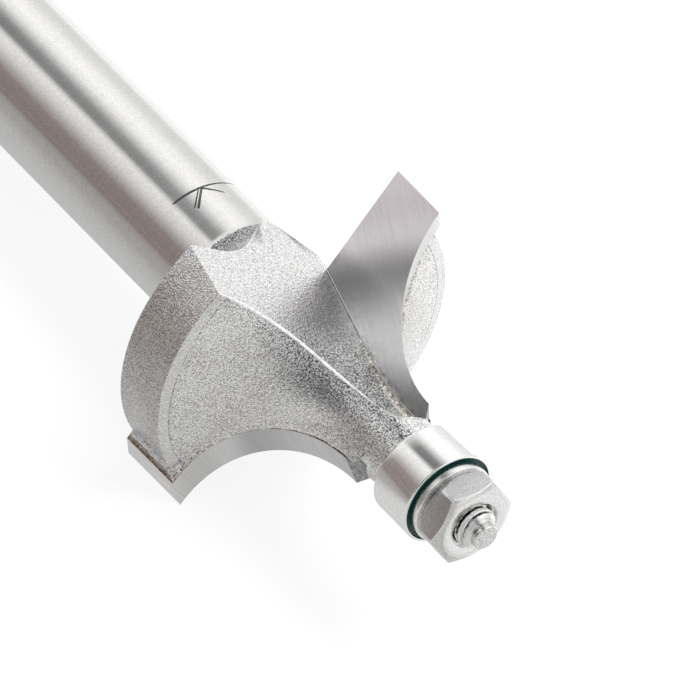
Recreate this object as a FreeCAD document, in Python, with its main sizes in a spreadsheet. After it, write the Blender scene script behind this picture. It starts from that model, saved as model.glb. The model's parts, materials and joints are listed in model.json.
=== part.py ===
import FreeCAD, Part
import math
import os
import re
import Sketcher

# Router bit for rounding over an edge: a turned steel body whose two gullets leave two wings,
# a carbide tip brazed on each wing, and a guide bearing held on the stud by a washer and a nut.
# Every piece is drawn about the bit's own axis, with Z towards the nose and zero at the back
# face of the head. All pieces then get one common turn, which lays the bit on its side.

doc = FreeCAD.newDocument("router_bit")
sizes = doc.addObject("Spreadsheet::Sheet", "sizes")

SIZES = [
    # shank
    ("shank_diameter", "6.35"),
    ("shank_length", "31.75"),
    ("shank_chamfer", "0.6"),
    ("root_fillet", "2.6"),
    # cutting profile
    ("profile_radius", "6.35"),
    ("straight_height", "3.56"),
    ("hook_angle", "13.6"),
    ("shear_angle", "9.17"),
    ("side_relief", "36.9"),
    ("end_relief", "23.7"),
    # head
    ("tip_overhang", "0.83"),
    ("head_edge_bevel", "0.12"),
    ("land_drop", "0.61"),
    ("cove_room", "0.36"),
    ("neck_inset", "0.5"),
    ("neck_length", "1.62"),
    ("neck_taper", "0.21"),
    ("boss_height", "0.16"),
    ("boss_diameter", "2.9"),
    # gullet
    ("gullet_turn", "18.3"),
    ("gullet_floor", "3.24"),
    ("gullet_lean", "13.65"),
    ("gullet_throat", "1.46"),
    ("throat_run", "0.54"),
    ("gullet_overrun", "1.0"),
    ("gullet_end_room", "0.35"),
    ("gullet_end_radius", "1.0"),
    # carbide tip and its seat
    ("tip_thickness", "1.0"),
    ("tip_inner_edge", "2.4"),
    ("tip_inner_lean", "7.0"),
    ("tip_nose_width", "0.52"),
    ("tip_nose_rise", "0.35"),
    ("braze_gap", "0.15"),
    # bearing
    ("bearing_diameter", "4.7625"),
    ("bearing_bore", "2.38125"),
    ("bearing_width", "2.38125"),
    ("ball_diameter", "0.79375"),
    ("ball_count", "7"),
    ("race_land", "0.085"),
    ("race_play", "0.01"),
    ("ring_bevel", "0.09"),
    ("cage_wall", "0.45"),
    ("cage_back", "0.62"),
    ("cage_front", "0.16"),
    ("pocket_play", "0.03"),
    ("seal_thickness", "0.15"),
    ("seal_recess", "0.12"),
    ("seal_rim", "0.13"),
    ("seal_gap", "0.07"),
    ("fit_gap", "0.01"),
    # stud, washer and nut
    ("thread_diameter", "1.96"),
    ("thread_run", "0.2"),
    ("point_diameter", "1.3"),
    ("point_length", "0.35"),
    ("point_bevel", "0.12"),
    ("washer_diameter", "4.1"),
    ("washer_thickness", "0.43"),
    ("washer_bevel", "0.07"),
    ("washer_play", "0.06"),
    ("nut_width", "3.9"),
    ("nut_height", "1.6"),
    ("nut_front_angle", "30"),
    ("nut_back_angle", "45"),
    ("nut_face_diameter", "3.5"),
    ("nut_sink", "0.2"),
    ("nut_turn", "25"),
]

for row, (alias, number) in enumerate(SIZES, start=1):
    sizes.set(f"A{row}", alias)
    sizes.set(f"B{row}", number)
    sizes.setAlias(f"B{row}", alias)
doc.recompute()

# Formulas shared by several pieces, all made of the names in the sheet.
CUT = "(bearing_diameter / 2 + profile_radius)"
TIP_END = "(straight_height + profile_radius)"
SHANK = "(shank_diameter / 2)"
HEAD = f"({CUT} - tip_overhang)"
NECK = "(bearing_diameter / 2 - neck_inset)"
NECK_FRONT = f"({NECK} - neck_taper)"
COVE_REACH = "(profile_radius + cove_room) * sqrt(0.5)"
BOSS_BACK = f"({TIP_END} + neck_length)"
BEARING_BACK = f"({BOSS_BACK} + boss_height)"
BEARING_FRONT = f"({BEARING_BACK} + bearing_width)"
BEARING_MIDDLE = f"({BEARING_BACK} + bearing_width / 2)"
WASHER_FRONT = f"({BEARING_FRONT} + washer_thickness)"
NUT_FRONT = f"({WASHER_FRONT} + nut_height)"
THREAD_END = f"({NUT_FRONT} + thread_run)"
THREAD = "(thread_diameter / 2)"
POINT = "(point_diameter / 2)"
STUD_END = f"({THREAD_END} + {THREAD} - {POINT} + point_length)"
RING = "(bearing_diameter / 2)"
BORE = "(bearing_bore / 2)"
PITCH = f"(({RING} + {BORE}) / 2)"
BALL = "(ball_diameter / 2)"
CORNER_SHARE = "(1 - sqrt(0.5))"


def bound(formula):
    """The formula with each name of the sheet written as a cell of the sheet."""
    return re.sub(r"\b([a-z]+_[a-z_]+)\b", r"sizes.\1", formula)


def value(formula):
    """The number that a formula gives with the sheet as it stands."""
    return float(sizes.evalExpression(bound(formula)))


def bind(thing, name, formula):
    thing.setExpression(name, bound(formula))


def origin_plane(body, role):
    return next(plane for plane in body.Origin.OriginFeatures if plane.Role == role)


def pin_point(sketch, element, end, x, y):
    """Hold one point of a sketch at a place worked out from the sheet."""
    for kind, formula in (("DistanceX", x), ("DistanceY", y)):
        number = sketch.addConstraint(Sketcher.Constraint(kind, -1, 1, element, end, value(formula)))
        bind(sketch, f"Constraints[{number}]", formula)


def arc_through(start, middle, end):
    """An arc drawn counterclockwise, and whether it runs from start to end that way."""
    circle = Part.Arc(start, middle, end).toShape().Curve
    centre = circle.Center
    angles = [math.atan2(point.y - centre.y, point.x - centre.x) for point in (start, middle, end)]
    forward = (angles[1] - angles[0]) % (2 * math.pi) < (angles[2] - angles[0]) % (2 * math.pi)
    first, last = (angles[0], angles[2]) if forward else (angles[2], angles[0])
    flat = Part.Circle(centre, FreeCAD.Vector(0, 0, 1), circle.Radius)
    return Part.ArcOfCircle(flat, first, last), forward


def draw(sketch, outline):
    """Draw a closed outline. Each corner is (x, y), or (x, y, via) when an arc through the
    point via leads to the next corner."""
    corners = [FreeCAD.Vector(value(corner[0]), value(corner[1]), 0) for corner in outline]
    pieces = []
    for place, corner in enumerate(outline):
        start = corners[place]
        end = corners[(place + 1) % len(corners)]
        if len(corner) == 2:
            pieces.append((sketch.addGeometry(Part.LineSegment(start, end)), 1, 2))
            continue
        via = corner[2]
        middle = FreeCAD.Vector(value(via[0]), value(via[1]), 0)
        arc, forward = arc_through(start, middle, end)
        number = sketch.addGeometry(arc)
        pieces.append((number, 1, 2) if forward else (number, 2, 1))
        mark = sketch.addGeometry(Part.Point(middle), True)
        sketch.addConstraint(Sketcher.Constraint("PointOnObject", mark, 1, number))
        pin_point(sketch, mark, 1, *via)
    for place, (number, first, last) in enumerate(pieces):
        follower, follower_first, _ = pieces[(place + 1) % len(pieces)]
        sketch.addConstraint(Sketcher.Constraint("Coincident", number, last, follower, follower_first))
        pin_point(sketch, number, first, *outline[place][:2])


def new_body(name):
    body = doc.addObject("PartDesign::Body", name)
    body.Label = name
    return body


def flat_sketch(body, name, role, outline, offset=None):
    """A sketch on one of the body's own planes, shifted or turned by a placement formula."""
    sketch = body.newObject("Sketcher::SketchObject", name)
    sketch.AttachmentSupport = [(origin_plane(body, role), "")]
    sketch.MapMode = "FlatFace"
    if offset:
        bind(sketch, "AttachmentOffset", offset)
    draw(sketch, outline)
    doc.recompute()
    return sketch


def turned(body, name, outline, kind="PartDesign::Revolution"):
    """A full turn of an outline of radius and height about the bit's axis."""
    sketch = flat_sketch(body, name + "_outline", "XZ_Plane", outline)
    feature = body.newObject(kind, name)
    feature.Profile = sketch
    feature.ReferenceAxis = (sketch, ["V_Axis"])
    feature.Angle = 360
    doc.recompute()
    return feature


def repeat_round(body, name, features, count):
    """Repeat features evenly round the bit's axis."""
    pattern = body.newObject("PartDesign::PolarPattern", name)
    pattern.Originals = features
    axis = next(line for line in body.Origin.OriginFeatures if line.Role == "Z_Axis")
    pattern.Axis = (axis, [""])
    pattern.Angle = 360
    if isinstance(count, str):
        bind(pattern, "Occurrences", count)
    else:
        pattern.Occurrences = count
    body.Tip = pattern
    doc.recompute()
    return pattern


# The plane of the right-hand cutting face. It passes through the outer corner of the tip,
# turned by the hook angle about the axis and then tilted by the shear angle.
FLUTES = 2
FACE_PLANE = f"placement(vector({CUT}; 0; 0); rotationy(hook_angle) * rotationx(-shear_angle))"


def on_face(x, z):
    """The place on the cutting face of a point given by its distance from the axis and height."""
    across = f"(({x}) - {CUT}) / cos(hook_angle) + ({z}) * tan(hook_angle) * tan(shear_angle)"
    along = f"({z}) / cos(shear_angle)"
    return across, along


def face_outline(points):
    """An outline on the cutting face from corners given as distance and height."""
    outline = []
    for point in points:
        corner = on_face(*point[:2])
        outline.append((*corner, on_face(*point[2])) if len(point) == 3 else corner)
    return outline


# Outline of the turned body, from the end of the shank to the end of the stud. The cove of the
# head follows the cutting profile, a little behind it.
HEAD_OUTLINE = [
    (SHANK, "-root_fillet", (f"{SHANK} + root_fillet * {CORNER_SHARE}", f"-root_fillet * {CORNER_SHARE}")),
    (f"{SHANK} + root_fillet", "0"),
    (f"{HEAD} - head_edge_bevel", "0"),
    (HEAD, "head_edge_bevel"),
    (HEAD, "straight_height - land_drop", (f"{CUT} - {COVE_REACH}", f"{TIP_END} - {COVE_REACH}")),
    (NECK, TIP_END),
    (NECK_FRONT, BOSS_BACK),
]

body = new_body("cutter_body")
turned(
    body,
    "turned_blank",
    [
        ("0", "-shank_length"),
        (f"{SHANK} - shank_chamfer", "-shank_length"),
        (SHANK, "shank_chamfer - shank_length"),
        *HEAD_OUTLINE,
        ("boss_diameter / 2", BOSS_BACK),
        ("boss_diameter / 2", BEARING_BACK),
        (f"{BORE} - fit_gap", BEARING_BACK),
        (f"{BORE} - fit_gap", BEARING_FRONT),
        (THREAD, BEARING_FRONT),
        (THREAD, THREAD_END),
        (POINT, f"{THREAD_END} + {THREAD} - {POINT}"),
        (POINT, f"{STUD_END} - point_bevel"),
        (f"{POINT} - point_bevel", STUD_END),
        ("0", STUD_END),
    ],
)

# Each gullet is cut along its floor from the plane of the cutting face right through the head.
# Its floor rises out of the shank, leans in towards the axis, bends to run along the neck, and
# curves out again just past the tip's nose.
REACH = f"({CUT} + 2 * tip_thickness)"
TIP_TOP = f"({TIP_END} + tip_nose_rise)"
GULLET_END = f"({TIP_TOP} + gullet_end_room)"
THROAT_START = f"({GULLET_END} - gullet_end_radius - throat_run)"
BEND_DEPTH = f"(gullet_throat + {THROAT_START} * tan(gullet_lean) - gullet_floor)"
BEND_RADIUS = f"({BEND_DEPTH} * cos(gullet_lean) / (1 - cos(gullet_lean)))"
RUN_OUT_WIDTH = f"({SHANK} + gullet_overrun)"
RUN_OUT_BACK = f"(-({RUN_OUT_WIDTH} - gullet_floor) / tan(gullet_lean))"
GULLET_OUTLINE = [
    (RUN_OUT_WIDTH, RUN_OUT_BACK),
    (
        f"gullet_throat + {BEND_RADIUS} * (1 - cos(gullet_lean))",
        f"{THROAT_START} - {BEND_RADIUS} * sin(gullet_lean)",
        (
            f"gullet_throat + {BEND_RADIUS} * (1 - cos(gullet_lean / 2))",
            f"{THROAT_START} - {BEND_RADIUS} * sin(gullet_lean / 2)",
        ),
    ),
    ("gullet_throat", THROAT_START),
    (
        "gullet_throat",
        f"{GULLET_END} - gullet_end_radius",
        (
            f"gullet_throat + gullet_end_radius * {CORNER_SHARE}",
            f"{GULLET_END} - gullet_end_radius * {CORNER_SHARE}",
        ),
    ),
    ("gullet_throat + gullet_end_radius", GULLET_END),
    (REACH, GULLET_END),
    (REACH, RUN_OUT_BACK),
]

# The seat for the tip is sunk square into the front wall of the wing. It holds the blank's
# straight inner edge and both ends, with room for the braze, and is open at the rim.
INNER_TOP = f"(tip_inner_edge - {TIP_TOP} * tan(tip_inner_lean))"
SEAT_OUTLINE = [
    ("tip_inner_edge - braze_gap", "-braze_gap"),
    ("gullet_floor", "-braze_gap"),
    ("gullet_floor", "-root_fillet - gullet_overrun"),
    (REACH, "-root_fillet - gullet_overrun"),
    (REACH, f"{TIP_TOP} + braze_gap"),
    (f"{INNER_TOP} - braze_gap", f"{TIP_TOP} + braze_gap"),
]


def cut_slot(body, name, outline, length, along=None):
    """Cut an outline on the cutting face, square to it or along a given direction."""
    sketch = flat_sketch(body, name + "_outline", "XZ_Plane", face_outline(outline), FACE_PLANE)
    before = body.Shape.Volume
    pocket = body.newObject("PartDesign::Pocket", name)
    pocket.Profile = sketch
    bind(pocket, "Length", length)
    if along:
        pocket.UseCustomVector = True
        pocket.AlongSketchNormal = False
        pocket.Direction = along
    else:
        pocket.Reversed = True
    doc.recompute()
    print(name, "takes", round(before - body.Shape.Volume, 2), "cubic mm")
    return pocket


turn = math.radians(value("gullet_turn"))
floor_line = FreeCAD.Vector(-math.sin(turn), math.cos(turn), 0)
gullet = cut_slot(body, "gullet", GULLET_OUTLINE, f"4 * {CUT}", floor_line)
seat = cut_slot(body, "tip_seat", SEAT_OUTLINE, "tip_thickness + braze_gap")
repeat_round(body, "second_flute", [gullet, seat], FLUTES)
print("cutter body", round(body.Shape.Volume, 2), body.Shape.isValid(), len(body.Shape.Solids))


# Carbide tips. The blank is a flat plate with a straight inner edge. Its outer edge is ground to
# the rounding profile, and the ground flank leans back from the edge so that only the edge cuts.
BLANK_OUTLINE = [
    ("tip_inner_edge", "0"),
    (CUT, "0"),
    (CUT, TIP_TOP),
    (INNER_TOP, TIP_TOP),
]
GROUND_AWAY = [
    (CUT, "-2 * tip_thickness"),
    (
        CUT,
        "straight_height",
        (f"{RING} + profile_radius * {CORNER_SHARE}", f"{TIP_END} - profile_radius * sqrt(0.5)"),
    ),
    (RING, TIP_END),
    (f"{RING} - tip_nose_width", TIP_TOP),
    (f"{RING} - tip_nose_width", f"{TIP_TOP} + 2 * tip_thickness"),
    (REACH, f"{TIP_TOP} + 2 * tip_thickness"),
    (REACH, "-2 * tip_thickness"),
]


def carbide_tip(name):
    """A tip drawn flat, its cutting face down on the plane of its own outline."""
    tip = new_body(name)
    blank = tip.newObject("PartDesign::Pad", name + "_blank")
    blank.Profile = flat_sketch(tip, name + "_plate", "XY_Plane", face_outline(BLANK_OUTLINE))
    bind(blank, "Length", "tip_thickness")
    doc.recompute()
    before = tip.Shape.Volume
    grind = tip.newObject("PartDesign::Pocket", name + "_flank")
    grind.Profile = flat_sketch(tip, name + "_profile", "XY_Plane", face_outline(GROUND_AWAY))
    grind.UseCustomVector = True
    grind.AlongSketchNormal = True
    side, end = (math.tan(math.radians(value(angle))) for angle in ("side_relief", "end_relief"))
    grind.Direction = FreeCAD.Vector(-side, -end, 1)
    bind(grind, "Length", "2 * tip_thickness")
    doc.recompute()
    print(name, "loses", round(before - tip.Shape.Volume, 2), "of", round(before, 2))
    return tip


def braze_seam(name):
    """The braze that fills the seat behind the tip and round its inner edge, flush with the
    turned surfaces of the head."""
    seam = new_body(name)
    fill = [
        ("tip_inner_edge - braze_gap", "-braze_gap"),
        ("gullet_floor", "-braze_gap"),
        ("gullet_floor", "0"),
        (REACH, "0"),
        (REACH, f"{TIP_TOP} + braze_gap"),
        (f"{INNER_TOP} - braze_gap", f"{TIP_TOP} + braze_gap"),
    ]
    pad = seam.newObject("PartDesign::Pad", name + "_fill")
    pad.Profile = flat_sketch(seam, name + "_room", "XZ_Plane", face_outline(fill), FACE_PLANE)
    bind(pad, "Length", "tip_thickness + braze_gap")
    doc.recompute()
    plate = [
        ("tip_inner_edge", "0"),
        (f"{REACH} + tip_thickness", "0"),
        (f"{REACH} + tip_thickness", TIP_TOP),
        (INNER_TOP, TIP_TOP),
    ]
    cut_slot(seam, name + "_plate", plate, "tip_thickness")
    outside = [
        *HEAD_OUTLINE,
        (f"2 * {REACH}", BOSS_BACK),
        (f"2 * {REACH}", "-root_fillet"),
    ]
    turned(seam, name + "_trim", outside, "PartDesign::Groove")
    return seam


# The plane of the right-hand cutting face in the bit's own frame, for the tips.
hook = FreeCAD.Rotation(FreeCAD.Vector(0, 1, 0), value("hook_angle"))
shear = FreeCAD.Rotation(FreeCAD.Vector(1, 0, 0), -value("shear_angle"))
upright = FreeCAD.Placement(FreeCAD.Vector(), FreeCAD.Rotation(FreeCAD.Vector(1, 0, 0), 90))
face_place = upright * FreeCAD.Placement(FreeCAD.Vector(value(CUT), 0, 0), hook * shear)

Z_AXIS = FreeCAD.Vector(0, 0, 1)


def round_axis(angle):
    """A turn about the bit's axis."""
    return FreeCAD.Placement(FreeCAD.Vector(), FreeCAD.Rotation(Z_AXIS, angle))


pieces = [(body, FreeCAD.Placement())]
for flute in range(FLUTES):
    flute_turn = round_axis(flute * 360 / FLUTES)
    pieces.append((carbide_tip(f"carbide_tip_{flute + 1}"), flute_turn * face_place))
    pieces.append((braze_seam(f"braze_seam_{flute + 1}"), flute_turn))

# Guide bearing: two grooved rings, a row of balls in a cage open to the front, and a seal pressed
# into each face of the outer ring.
INNER_LAND = f"({PITCH} - {BALL} + race_land)"
OUTER_LAND = f"({PITCH} + {BALL} - race_land)"
HALF_GROOVE = f"sqrt(({BALL} + race_play) ^ 2 - ({BALL} - race_land) ^ 2)"
SEAT = f"({RING} - seal_rim)"
SEAT_DEPTH = "(seal_recess + seal_thickness)"

outer_ring = new_body("bearing_outer_ring")
turned(
    outer_ring,
    "outer_race",
    [
        (f"{RING} - ring_bevel", BEARING_BACK),
        (RING, f"{BEARING_BACK} + ring_bevel"),
        (RING, f"{BEARING_FRONT} - ring_bevel"),
        (f"{RING} - ring_bevel", BEARING_FRONT),
        (SEAT, BEARING_FRONT),
        (SEAT, f"{BEARING_FRONT} - {SEAT_DEPTH}"),
        (OUTER_LAND, f"{BEARING_FRONT} - {SEAT_DEPTH}"),
        (
            OUTER_LAND,
            f"{BEARING_MIDDLE} + {HALF_GROOVE}",
            (f"{PITCH} + {BALL} + race_play", BEARING_MIDDLE),
        ),
        (OUTER_LAND, f"{BEARING_MIDDLE} - {HALF_GROOVE}"),
        (OUTER_LAND, f"{BEARING_BACK} + {SEAT_DEPTH}"),
        (SEAT, f"{BEARING_BACK} + {SEAT_DEPTH}"),
        (SEAT, BEARING_BACK),
    ],
)

inner_ring = new_body("bearing_inner_ring")
turned(
    inner_ring,
    "inner_race",
    [
        (BORE, BEARING_BACK),
        (INNER_LAND, BEARING_BACK),
        (
            INNER_LAND,
            f"{BEARING_MIDDLE} - {HALF_GROOVE}",
            (f"{PITCH} - {BALL} - race_play", BEARING_MIDDLE),
        ),
        (INNER_LAND, f"{BEARING_MIDDLE} + {HALF_GROOVE}"),
        (INNER_LAND, BEARING_FRONT),
        (BORE, BEARING_FRONT),
    ],
)

cage = new_body("bearing_cage")
turned(
    cage,
    "cage_band",
    [
        (f"{PITCH} - cage_wall / 2", f"{BEARING_MIDDLE} - cage_back"),
        (f"{PITCH} + cage_wall / 2", f"{BEARING_MIDDLE} - cage_back"),
        (f"{PITCH} + cage_wall / 2", f"{BEARING_MIDDLE} + cage_front"),
        (f"{PITCH} - cage_wall / 2", f"{BEARING_MIDDLE} + cage_front"),
    ],
)
pocket = cage.newObject("PartDesign::SubtractiveCylinder", "ball_pocket")
pocket.AttachmentSupport = [(origin_plane(cage, "XY_Plane"), "")]
pocket.MapMode = "FlatFace"
pocket_offset = f"placement(vector({PITCH} - cage_wall; 0; {BEARING_MIDDLE}); rotationy(90))"
bind(pocket, "AttachmentOffset", pocket_offset)
bind(pocket, "Radius", f"{BALL} + pocket_play")
bind(pocket, "Height", "2 * cage_wall")
doc.recompute()
repeat_round(cage, "ball_pockets", [pocket], "ball_count")

pieces += [(outer_ring, FreeCAD.Placement()), (inner_ring, FreeCAD.Placement())]
pieces.append((cage, FreeCAD.Placement()))

ball_total = round(value("ball_count"))
for number in range(ball_total):
    ball = doc.addObject("Part::Sphere", f"bearing_ball_{number + 1}")
    ball.Label = f"bearing_ball_{number + 1}"
    bind(ball, "Radius", BALL)
    centre = FreeCAD.Placement(FreeCAD.Vector(value(PITCH), 0, value(BEARING_MIDDLE)), FreeCAD.Rotation())
    pieces.append((ball, round_axis(number * 360 / ball_total) * centre))

SEAL_PLACES = {
    "bearing_rear_seal": f"({BEARING_BACK} + seal_recess)",
    "bearing_front_seal": f"({BEARING_FRONT} - {SEAT_DEPTH})",
}
for name, back in SEAL_PLACES.items():
    seal = new_body(name)
    turned(
        seal,
        name + "_disc",
        [
            (f"{INNER_LAND} + seal_gap", back),
            (f"{SEAT} - fit_gap", back),
            (f"{SEAT} - fit_gap", f"{back} + seal_thickness"),
            (f"{INNER_LAND} + seal_gap", f"{back} + seal_thickness"),
        ],
    )
    pieces.append((seal, FreeCAD.Placement()))

# Washer: it bears on the inner ring alone and clears the seal, which lies below the ring's face.
washer = new_body("washer")
WASHER = "(washer_diameter / 2)"
turned(
    washer,
    "washer_disc",
    [
        (f"{THREAD} + washer_play", BEARING_FRONT),
        (f"{WASHER} - washer_bevel", BEARING_FRONT),
        (WASHER, f"{BEARING_FRONT} + washer_bevel"),
        (WASHER, f"{WASHER_FRONT} - washer_bevel"),
        (f"{WASHER} - washer_bevel", WASHER_FRONT),
        (f"{THREAD} + washer_play", WASHER_FRONT),
    ],
)
pieces.append((washer, FreeCAD.Placement()))

# Nut: a hexagon turned off at the corners on both faces, with a sunk mouth at each end.
nut = new_body("hex_nut")
FLATS = 6
NUT_CORNER = f"nut_width / 2 / cos(180 / {FLATS})"
hexagon = [
    (
        f"{NUT_CORNER} * cos(nut_turn + {corner} * 360 / {FLATS})",
        f"{NUT_CORNER} * sin(nut_turn + {corner} * 360 / {FLATS})",
    )
    for corner in range(FLATS)
]
prism = nut.newObject("PartDesign::Pad", "nut_prism")
nut_offset = f"placement(vector(0; 0; {WASHER_FRONT}); rotationz(0))"
prism.Profile = flat_sketch(nut, "nut_hexagon", "XY_Plane", hexagon, nut_offset)
bind(prism, "Length", "nut_height")
doc.recompute()
FACE = "(nut_face_diameter / 2)"
NUT_ENDS = (
    ("nut_back_bevel", WASHER_FRONT, "+", "nut_back_angle"),
    ("nut_front_bevel", NUT_FRONT, "-", "nut_front_angle"),
)
for name, face, way, angle in NUT_ENDS:
    drop = f"(nut_width - {FACE}) * tan({angle})"
    bevel = [(FACE, face), ("nut_width", face), ("nut_width", f"{face} {way} {drop}")]
    turned(nut, name, bevel, "PartDesign::Groove")
NUT_BORE = f"({THREAD} + fit_gap)"
turned(
    nut,
    "nut_bore",
    [
        ("0", WASHER_FRONT),
        (f"{NUT_BORE} + nut_sink", WASHER_FRONT),
        (NUT_BORE, f"{WASHER_FRONT} + nut_sink"),
        (NUT_BORE, f"{NUT_FRONT} - nut_sink"),
        (f"{NUT_BORE} + nut_sink", NUT_FRONT),
        ("0", NUT_FRONT),
    ],
    "PartDesign::Groove",
)
pieces.append((nut, FreeCAD.Placement()))


# The bit rests on three points: the corner of one tip, the back corner of the other wing and the
# rim of the shank's end. The plane through them gives the turn that lays every piece down.
def resting_down(tip_corner, wing_corner, rim_height, rim_radius):
    """The direction that points down, in the bit's own frame, once the bit has come to rest."""
    across = wing_corner - tip_corner
    down = FreeCAD.Vector(tip_corner.x + wing_corner.x, tip_corner.y + wing_corner.y, 0).normalize()
    for _ in range(40):
        flat = FreeCAD.Vector(down.x, down.y, 0).normalize()
        rim_point = flat * rim_radius + FreeCAD.Vector(0, 0, rim_height)
        normal = across.cross(rim_point - tip_corner).normalize()
        down = normal if normal.dot(down) > 0 else -normal
    return down


def in_frame(place, x, z):
    """A point of the cutting face, by its distance and height, in the bit's own frame."""
    across, along = on_face(x, z)
    return place.multVec(FreeCAD.Vector(value(across), value(along), 0))


tip_corner = in_frame(round_axis(180) * face_place, CUT, "straight_height")
# The wing's back corner is where the bevelled rim of the head runs into the gullet's floor.
floor_normal = FreeCAD.Vector(math.cos(turn), math.sin(turn), 0)
floor_reach = in_frame(face_place, "gullet_floor - head_edge_bevel * tan(gullet_lean)", "head_edge_bevel")
corner_turn = turn + math.acos(floor_reach.dot(floor_normal) / value(HEAD))
wing_corner = FreeCAD.Vector(math.cos(corner_turn), math.sin(corner_turn), 0) * -value(HEAD)
wing_corner.z = value("head_edge_bevel")
rim_height = value("shank_chamfer - shank_length")
down = resting_down(tip_corner, wing_corner, rim_height, value(SHANK))
up = -down
nose = (Z_AXIS - up * Z_AXIS.dot(up)).normalize()
side = up.cross(nose)
rows = FreeCAD.Matrix(nose.x, nose.y, nose.z, 0, side.x, side.y, side.z, 0, up.x, up.y, up.z, 0, 0, 0, 0, 1)
lying = FreeCAD.Placement(rows)
for piece, place in pieces:
    piece.Placement = lying * place
doc.recompute()


space = FreeCAD.BoundBox()
for piece, place in pieces:
    space.add(piece.Shape.optimalBoundingBox(False, False))
foot = FreeCAD.Vector(space.Center.x, space.Center.y, space.ZMin)
lying = FreeCAD.Placement(-foot, FreeCAD.Rotation()) * lying
for piece, place in pieces:
    piece.Placement = lying * place
doc.recompute()

for thing in doc.Objects:
    if "Invalid" in thing.State or "Error" in thing.State:
        raise RuntimeError(f"{thing.Label} did not build: {thing.State}")
for piece, place in pieces:
    if piece.Shape.isNull() or not piece.Shape.isValid() or len(piece.Shape.Solids) != 1:
        raise RuntimeError(f"{piece.Label} is not one sound solid")

os.makedirs("parts", exist_ok=True)
for piece, place in pieces:
    piece.Shape.exportStep(f"parts/{piece.Label}.step")
    print(piece.Label, round(piece.Shape.Volume, 3))

axis_point = lying.multVec(FreeCAD.Vector())
axis_end = lying.multVec(Z_AXIS)
print("axis through", axis_point, "towards", axis_end - axis_point)
print("size", space.XLength, space.YLength, space.ZLength)
for piece, place in pieces:
    if piece.Label.startswith("bearing_ball"):
        print(piece.Label, "centre", list(piece.Placement.Base))
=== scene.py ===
import math

import bmesh
import bpy
from mathutils import Matrix, Vector, noise
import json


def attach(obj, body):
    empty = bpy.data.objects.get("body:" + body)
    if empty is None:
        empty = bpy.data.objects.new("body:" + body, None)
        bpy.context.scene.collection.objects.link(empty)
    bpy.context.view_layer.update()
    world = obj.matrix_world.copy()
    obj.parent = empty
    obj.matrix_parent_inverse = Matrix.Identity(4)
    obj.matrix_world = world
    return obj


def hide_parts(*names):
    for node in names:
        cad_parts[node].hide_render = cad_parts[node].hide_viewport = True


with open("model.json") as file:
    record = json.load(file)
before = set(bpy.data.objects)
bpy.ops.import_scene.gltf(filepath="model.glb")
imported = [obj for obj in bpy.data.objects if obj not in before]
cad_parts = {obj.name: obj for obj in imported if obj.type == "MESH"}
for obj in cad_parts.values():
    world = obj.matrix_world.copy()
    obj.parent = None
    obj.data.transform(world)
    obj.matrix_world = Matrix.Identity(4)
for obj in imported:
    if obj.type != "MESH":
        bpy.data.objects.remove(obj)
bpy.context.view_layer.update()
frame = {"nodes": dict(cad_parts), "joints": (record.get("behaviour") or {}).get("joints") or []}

# THE BIT'S AXIS. Everything on a router bit is turned, ground or threaded about one line.
# The pieces are drawn upright on that line, nose up and zero at the back of the head, and
# then laid down along it as the bit rests on the floor.
spin = next(joint for joint in frame["joints"] if joint["name"] == "guide_ring_spin")
nose_way = Vector(spin["axis"]).normalized()
bearing_middle = 0.012880625
heel = Vector(spin["pos_m"]) - nose_way * bearing_middle
level = Vector((0, 1, 0))
above = nose_way.cross(level)
tip_turn = math.radians(42.03)
tip_way = level * math.cos(tip_turn) + above * math.sin(tip_turn)
other_way = nose_way.cross(tip_way)
bit_place = Matrix((
    (tip_way.x, other_way.x, nose_way.x, heel.x),
    (tip_way.y, other_way.y, nose_way.y, heel.y),
    (tip_way.z, other_way.z, nose_way.z, heel.z),
    (0, 0, 0, 1),
))


# CUTTER BODY. Shank, winged head, neck and stud are one bar of steel. The shank is ground
# round, the head is milled and then blasted, which leaves it grey and grainy, and the stud
# is left as it was turned.
def new_object(name, data):
    """A new object in the scene, at the origin."""
    made = bpy.data.objects.new(name, data)
    bpy.context.scene.collection.objects.link(made)
    return made


def lay_down(name, mesh, finishes, body):
    """Lay a mesh that was drawn upright along the bit's axis, and let it move with its body."""
    mesh.transform(bit_place)
    for finish in finishes if isinstance(finishes, list) else [finishes]:
        mesh.materials.append(finish)
    piece = new_object(name, mesh)
    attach(piece, body)
    return piece


def finished_mesh(surface, mesh, crease):
    """Smooth every face, keep the edges that turn more than the crease angle, and fill the mesh."""
    bmesh.ops.recalc_face_normals(surface, faces=surface.faces)
    for face in surface.faces:
        face.smooth = True
    for edge in surface.edges:
        edge.smooth = edge.calc_face_angle(0.0) < math.radians(crease)
    surface.to_mesh(mesh)
    surface.free()
    return mesh


def milled_copy(solid, name, crease, unwanted=None):
    """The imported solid's own surface, drawn upright and welded, without the unwanted faces."""
    mesh = frame["nodes"][solid].data.copy()
    mesh.name = name
    mesh.materials.clear()
    mesh.attributes.remove(mesh.attributes["custom_normal"])
    mesh.transform(bit_place.inverted())
    surface = bmesh.new()
    surface.from_mesh(mesh)
    bmesh.ops.remove_doubles(surface, verts=surface.verts, dist=1e-6)
    if unwanted:
        doomed = [face for face in surface.faces if unwanted(face.calc_center_median() * 1000)]
        bmesh.ops.delete(surface, geom=doomed, context="FACES")
    return finished_mesh(surface, mesh, crease)


def finish_tree(name):
    """An empty material, its node tree, and the socket that takes its surface."""
    finish = bpy.data.materials.new(name)
    finish.use_nodes = True
    tree = finish.node_tree
    tree.nodes.clear()
    return finish, tree, tree.nodes.new("ShaderNodeOutputMaterial").inputs[0]


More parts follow.
